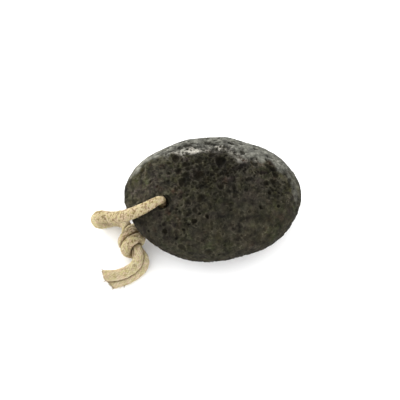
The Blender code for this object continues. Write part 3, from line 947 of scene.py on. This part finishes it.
def worn_depths(points):
    """How far the cord has worn each point in."""
    places = np.array(points)
    worn = np.zeros(len(points))
    for middle, radius, most in WORN_BY_CORD:
        out = np.linalg.norm(places - np.array(middle), axis=1) / radius
        worn += most * np.maximum(1.0 - out**2, 0.0) ** 2
    return worn


def shades(points):
    """How light the crust is at each point: darker where the pits crowd, paler at the drilled end."""
    places = np.array(points)
    shade = np.ones(len(points))
    for middle, width, more in SHADE_PATCHES:
        out = np.linalg.norm(places - np.array(middle), axis=1) / width
        shade += more * np.exp(-(out**2))
    return shade


def past_crest(points):
    """How far each point of the upper side lies past the crest, towards the far side."""
    size, height = CREST_STRAY
    places = np.array(points)
    across, far = np.array(CREST_LINE).T
    wander = np.array([height * noise.noise(point / size) for point in points])
    return places[:, 1] - np.interp(places[:, 0], across, far) + wander


def stone_pits(points, normals, coarse):
    """Every pit and pore as its centre, its radius and its depth as a share of that radius."""
    kinds = (
        (pit_list(points[:coarse], normals[:coarse]), PIT_DEPTH_SHARE, WORN_PIT_SHARE),
        (pore_list(points), PORE_DEPTH_SHARE, WORN_PORE_SHARE),
        (named_pits(points, normals, SHARP_PITS), SHARP_DEPTH_SHARE, 1.0),
    )
    return [(*pit, depth_share(pit[0], *shares)) for pits, *shares in kinds for pit in pits]


def crest_wear_and_light(points, normals):
    """How far each point belongs to the worn bevel with its painted light and to the chipped crest with its
    painted highlight, from 0 to 1.
    """
    past = past_crest(points)
    across, _, height = np.array(points).T
    bevel = smooth_step(past, -BEVEL_WIDTH * BEVEL_BEFORE, BEVEL_WIDTH)
    bevel *= smooth_step(height - past * BEVEL_SLOPE, *BEVEL_LOW)
    bevel *= smooth_step(np.array(normals) @ np.array(BEVEL_FACING), *BEVEL_FADE)
    bevel *= smooth_step(across, *BEVEL_START) * smooth_step(across, *BEVEL_END)
    crest = np.exp(-((past / CREST_SPREAD) ** 2)) * (height > STONE_CENTRE.z)
    crest *= smooth_step(across, *CREST_START) * smooth_step(across, *CREST_END)
    return bevel, crest


def make_hole_cutter():
    """The drilled hole with its worn mouth, as a turned profile."""
    axis = (TOP_MOUTH - UNDER_MOUTH).normalized()
    shape = bmesh.new()
    corners = [shape.verts.new((out, 0.0, up)) for up, out in HOLE_PROFILE]
    edges = [shape.edges.new(pair) for pair in zip(corners, corners[1:])]
    bmesh.ops.spin(
        shape,
        geom=corners + edges,
        axis=(0.0, 0.0, 1.0),
        cent=(0.0, 0.0, 0.0),
        steps=HOLE_SIDES,
        angle=math.tau,
        use_merge=True,
    )
    bmesh.ops.remove_doubles(shape, verts=shape.verts, dist=0.001)
    bmesh.ops.recalc_face_normals(shape, faces=shape.faces)
    turn = axis.to_track_quat("Z", "Y").to_matrix().to_4x4()
    place = Matrix.Scale(MM, 4) @ Matrix.Translation(UNDER_MOUTH) @ turn
    bmesh.ops.transform(shape, matrix=place, verts=shape.verts)
    return linked("hole", mesh_of("hole", shape))


def drilled(body):
    """The stone with its hole through it."""
    cutter = make_hole_cutter()
    drill = body.modifiers.new("drill", "BOOLEAN")
    drill.operation = "DIFFERENCE"
    drill.solver = "EXACT"
    drill.object = cutter
    stone = kept_mesh("pumice", body)
    bpy.data.objects.remove(cutter, do_unlink=True)
    return stone


def make_stone(pumice):
    """The drilled stone with its pits, its pores and its wear."""
    shape, coarse = stone_shape()
    points = [vertex.co.copy() for vertex in shape.verts]
    normals = [vertex.normal.copy() for vertex in shape.verts]
    depth, rim = pit_depths(points, stone_pits(points, normals, coarse))
    inward = depth + worn_depths(points)
    bevel, crest = crest_wear_and_light(points, normals)
    calm = 1.0 - BEVEL_CALM * bevel
    for vertex, point, normal, deep, still in zip(shape.verts, points, normals, inward, calm):
        vertex.co += normal * (STONE_GROWN + roughness(point) * float(still) - float(deep))
        vertex.co.z = max(vertex.co.z, 0.0)
    bmesh.ops.scale(shape, vec=(MM, MM, MM), verts=shape.verts)
    mesh = mesh_of("pumice_stone", shape)
    pit = np.minimum(depth / PIT_FULL, 1.0)
    worn = [worn_smooth(point) for point in points]
    # pit carries painted shade; rim, bevel and crest carry pale wear with painted light
    kept = {"pit": pit, "rim": rim, "bevel": bevel, "shade": shades(points), "worn": worn, "crest": crest}
    for name, values in kept.items():
        keep_values(mesh, name, values)
    stone = drilled(linked("pumice_body", mesh))
    stone.data.materials.clear()
    stone.data.materials.append(pumice)
    stone.data.shade_smooth()
    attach(stone, "root")
    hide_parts("pumice_stone")


# ---------------------------------------------------------------- finishes


def new_group(name):
    """An empty shader node group, which gives a colour, a roughness and a height."""
    tree = bpy.data.node_groups.new(name, "ShaderNodeTree")
    tree.interface.new_socket("Color", in_out="OUTPUT", socket_type="NodeSocketColor")
    tree.interface.new_socket("Roughness", in_out="OUTPUT", socket_type="NodeSocketFloat")
    tree.interface.new_socket("Height", in_out="OUTPUT", socket_type="NodeSocketFloat")
    return tree


def end_group(tree, colour, roughness, height):
    """The group's three outputs, fed."""
    add(tree, "NodeGroupOutput", {"Color": colour, "Roughness": roughness, "Height": height})


def add(tree, kind, links=(), **values):
    """A new node: its sockets' values and its settings by name, and the outputs that feed its inputs."""
    node = tree.nodes.new(kind)
    for name, value in values.items():
        if name in node.inputs:
            node.inputs[name].default_value = value
        else:
            setattr(node, name, value)
    for socket, source in dict(links).items():
        tree.links.new(source, node.inputs[socket])
    return node


def kept_value(tree, name):
    """A value that the mesh keeps at its corners."""
    return add(tree, "ShaderNodeAttribute", attribute_name=name).outputs["Fac"]


def noise_value(tree, place, pattern):
    """The pattern's noise, as a value about 0.5."""
    moved = add(tree, "ShaderNodeVectorMath", {0: place}, operation="ADD")
    moved.inputs[1].default_value = (pattern.shift, pattern.shift, pattern.shift)
    made = add(
        tree,
        "ShaderNodeTexNoise",
        {"Vector": moved.outputs[0]},
        Scale=1.0 / (pattern.size * MM),
        Detail=pattern.detail,
        Roughness=pattern.rough,
    )
    return made.outputs["Fac"]


def ramp(tree, value, start, full, most=1.0, least=0.0):
    """The value spread so that start gives the least and full gives the most, and kept between those."""
    made = add(tree, "ShaderNodeMapRange", {"Value": value})
    for socket, limit in (("From Min", start), ("From Max", full), ("To Min", least), ("To Max", most)):
        made.inputs[socket].default_value = limit
    return made.outputs["Result"]


def patches(tree, place, pattern):
    """How much the pattern shows at each place."""
    value = noise_value(tree, place, pattern)
    return ramp(tree, value, pattern.start, pattern.full, pattern.most, pattern.least)


def cells(tree, place, size):
    """A pattern of small cells about that wide."""
    return add(tree, "ShaderNodeTexVoronoi", {"Vector": place}, Scale=1.0 / (size * MM))


def blend(tree, factor, first, second):
    """Two colours mixed; each is an output or a plain colour."""
    made = add(tree, "ShaderNodeMix", {0: factor}, data_type="RGBA")
    for socket, colour in ((6, first), (7, second)):
        if isinstance(colour, tuple):
            made.inputs[socket].default_value = (*colour, 1.0)
        else:
            tree.links.new(colour, made.inputs[socket])
    return made.outputs[2]


def product(tree, first, second):
    """Two values multiplied; the second is an output or a number."""
    made = add(tree, "ShaderNodeMath", {0: first}, operation="MULTIPLY")
    if isinstance(second, float):
        made.inputs[1].default_value = second
    else:
        tree.links.new(second, made.inputs[1])
    return made.outputs[0]


def layered(tree, colour, layers):
    """The colour with each layer over it: how much of it shows, and its own colour."""
    for shown, patch in layers:
        colour = blend(tree, shown, colour, patch)
    return colour


def mottled(tree, place):
    """The crust's mottle with its grain."""
    layers = [(patches(tree, place, pattern), patch) for pattern, patch in MOTTLE]
    grain = cells(tree, place, GRAIN_SIZE).outputs["Color"]
    drawn = add(tree, "ShaderNodeSeparateColor", {"Color": grain}).outputs[0]
    layers += [(ramp(tree, drawn, *fade), patch) for fade, patch in GRAIN_FADES]
    layers.append((patches(tree, place, FINE_GRAIN), GRAIN))
    return layered(tree, CHARCOAL, layers)


def worn_ground(tree, place):
    """The colour of the crust where it is worn smooth."""
    ground = blend(tree, patches(tree, place, WORN_PATCHES), WORN_GREY, WORN_BROWN)
    return blend(tree, patches(tree, place, WORN_MOSS), ground, MOSS)


def pumice_group():
    """The pumice's mottled colour with painted shade in its pits and pores and painted light on its rims,
    bevel and crest, its roughness and its finest pores.
    """
    tree = new_group("pumice_mottle")
    place = add(tree, "ShaderNodeTexCoord").outputs["Object"]
    bevel, crest = kept_value(tree, "bevel"), kept_value(tree, "crest")
    # the bevel's pale worn band, brightened with painted light
    band = blend(tree, patches(tree, place, STREAKS), BEVEL_DARK, BEVEL_PALE_AND_LIT)
    # where the crest's painted highlight and pale chips show
    chips_and_glints = product(tree, patches(tree, place, CHIPS_AND_GLINTS), patches(tree, place, CREST_LASTS))
    colour = layered(tree, mottled(tree, place), (
        (ramp(tree, kept_value(tree, "worn"), *WORN_FADE), worn_ground(tree, place)),
        # pale pit rims with a painted highlight
        (product(tree, kept_value(tree, "rim"), patches(tree, place, BROKEN_RIMS)), PALE_RIM_AND_HIGHLIGHT),
        (product(tree, bevel, BEVEL_SHARE), band),
        # painted highlight and pale chips on the crest
        (product(tree, crest, chips_and_glints), CREST_CHIPS_AND_HIGHLIGHT),
        # painted shade in the pits
        (ramp(tree, kept_value(tree, "pit"), *PIT_FADE), PIT_SHADE),
    ))
    light = product(tree, kept_value(tree, "shade"), patches(tree, place, LIGHTER_SPOTS))
    lit = add(tree, "ShaderNodeVectorMath", {0: colour, "Scale": light}, operation="SCALE").outputs[0]
    pores = cells(tree, place, FINEST_PORE).outputs["Distance"]
    raised = {0: ramp(tree, pores, *FINEST_RISE), 1: noise_value(tree, place, TOOTH)}
    height = add(tree, "ShaderNodeMath", raised, operation="ADD").outputs[0]
    # painted shade in the finest pores
    colour = blend(tree, ramp(tree, pores, *FINEST_DARK), lit, PIT_SHADE)
    end_group(tree, colour, ramp(tree, bevel, *PUMICE_ROUGHNESS), height)
    return tree


def cotton_group():
    """The cotton's cream yarns with their tints, and the painted shade in the crevices between them,
    between strands, in the hole and on the cord's top.
    """
    tree = new_group("cotton_yarns")
    place = add(tree, "ShaderNodeTexCoord").outputs["Object"]
    tint, yarn = kept_value(tree, "tint"), kept_value(tree, "yarn")
    up = add(tree, "ShaderNodeSeparateXYZ", {"Vector": place}).outputs["Z"]
    # how high the cord is, for the painted shade on its top
    upper = ramp(tree, up, TOP_SHADE_HEIGHTS[0] * MM, TOP_SHADE_HEIGHTS[1] * MM)
    specks = patches(tree, place, SPECKS)
    top_shade_specks, fewest_specks = SPECKS_AND_TOP_SHADE_SHARES
    colour = layered(tree, CREAM, (
        (ramp(tree, tint, *PINKISH_FADE), PINKISH),
        (ramp(tree, tint, *YELLOWISH_FADE), YELLOWISH),
        (patches(tree, place, YELLOWED), YELLOWISH),
        (patches(tree, place, BLEACHING), BLEACHED),
        # painted shade in the crevices between the yarns
        (ramp(tree, yarn, *CREVICE_SHADE_FADE), PAINTED_SHADE),
        # painted shade on the cord's top, as a darker tone and more dark specks
        (product(tree, upper, TOP_SHADE_SHARE), PAINTED_SHADE),
        (product(tree, specks, product(tree, upper, top_shade_specks)), SPECK_AND_SHADE),
        (product(tree, specks, fewest_specks), SPECK_AND_SHADE),
        # painted shade between strands, in the hole and on the strays, and the darker cut ends
        (product(tree, kept_value(tree, "shaded"), SHADED_SHARE), SPECK_AND_SHADE),
    ))
    end_group(tree, colour, ramp(tree, yarn, *COTTON_ROUGHNESS), noise_value(tree, place, THREADS))
    return tree


def finished_material(name, group, bump_depth, bump_strength, specular):
    """A Principled material whose colour, roughness and height come from one group."""
    made = bpy.data.materials.new(name)
    made.use_nodes = True
    tree = made.node_tree
    shader = tree.nodes["Principled BSDF"]
    shader.inputs["Metallic"].default_value = 0.0
    shader.inputs["Specular IOR Level"].default_value = specular
    looks = tree.nodes.new("ShaderNodeGroup")
    looks.node_tree = group
    bump = tree.nodes.new("ShaderNodeBump")
    bump.inputs["Strength"].default_value = bump_strength
    bump.inputs["Distance"].default_value = bump_depth * MM
    tree.links.new(looks.outputs["Color"], shader.inputs["Base Color"])
    tree.links.new(looks.outputs["Roughness"], shader.inputs["Roughness"])
    tree.links.new(looks.outputs["Height"], bump.inputs["Height"])
    tree.links.new(bump.outputs["Normal"], shader.inputs["Normal"])
    return made


def plain_material(name, colour, roughness):
    """A Principled material of one colour and one roughness."""
    made = bpy.data.materials.new(name)
    made.use_nodes = True
    shader = made.node_tree.nodes["Principled BSDF"]
    shader.inputs["Base Color"].default_value = colour
    shader.inputs["Roughness"].default_value = roughness
    return made


# ---------------------------------------------------------------- studio


def make_floor():
    """The pale surface that the stone lies on."""
    shape = bmesh.new()
    bmesh.ops.create_grid(shape, x_segments=1, y_segments=1, size=FLOOR_HALF)
    floor = linked("floor", mesh_of("floor", shape))
    floor.data.materials.append(plain_material("floor", FLOOR_COLOUR, FLOOR_ROUGHNESS))


def make_light(name, place, size, power):
    """A rectangular light that faces the stone."""
    data = bpy.data.lights.new(name, "AREA")
    data.shape = "RECTANGLE"
    data.size, data.size_y = size
    data.energy = power
    light = linked(name, data)
    light.location = place
    light.rotation_euler = (-Vector(place)).to_track_quat("-Z", "Y").to_euler()


def make_studio():
    """The white surroundings, the light and the floor."""
    world = bpy.data.worlds.new("studio")
    bpy.context.scene.world = world
    world.use_nodes = True
    background = world.node_tree.nodes["Background"]
    background.inputs["Color"].default_value = (1.0, 1.0, 1.0, 1.0)
    background.inputs["Strength"].default_value = WORLD_STRENGTH
    make_light("back_softbox", *BACK_SOFTBOX)
    make_floor()
    bpy.context.scene.view_settings.view_transform = "Standard"


def main():
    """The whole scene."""
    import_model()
    make_camera()
    cotton = finished_material("cotton", cotton_group(), *COTTON_FINISH)
    pumice = finished_material("pumice", pumice_group(), *PUMICE_FINISH)
    make_cords(cotton)
    make_stone(pumice)
    make_studio()


main()
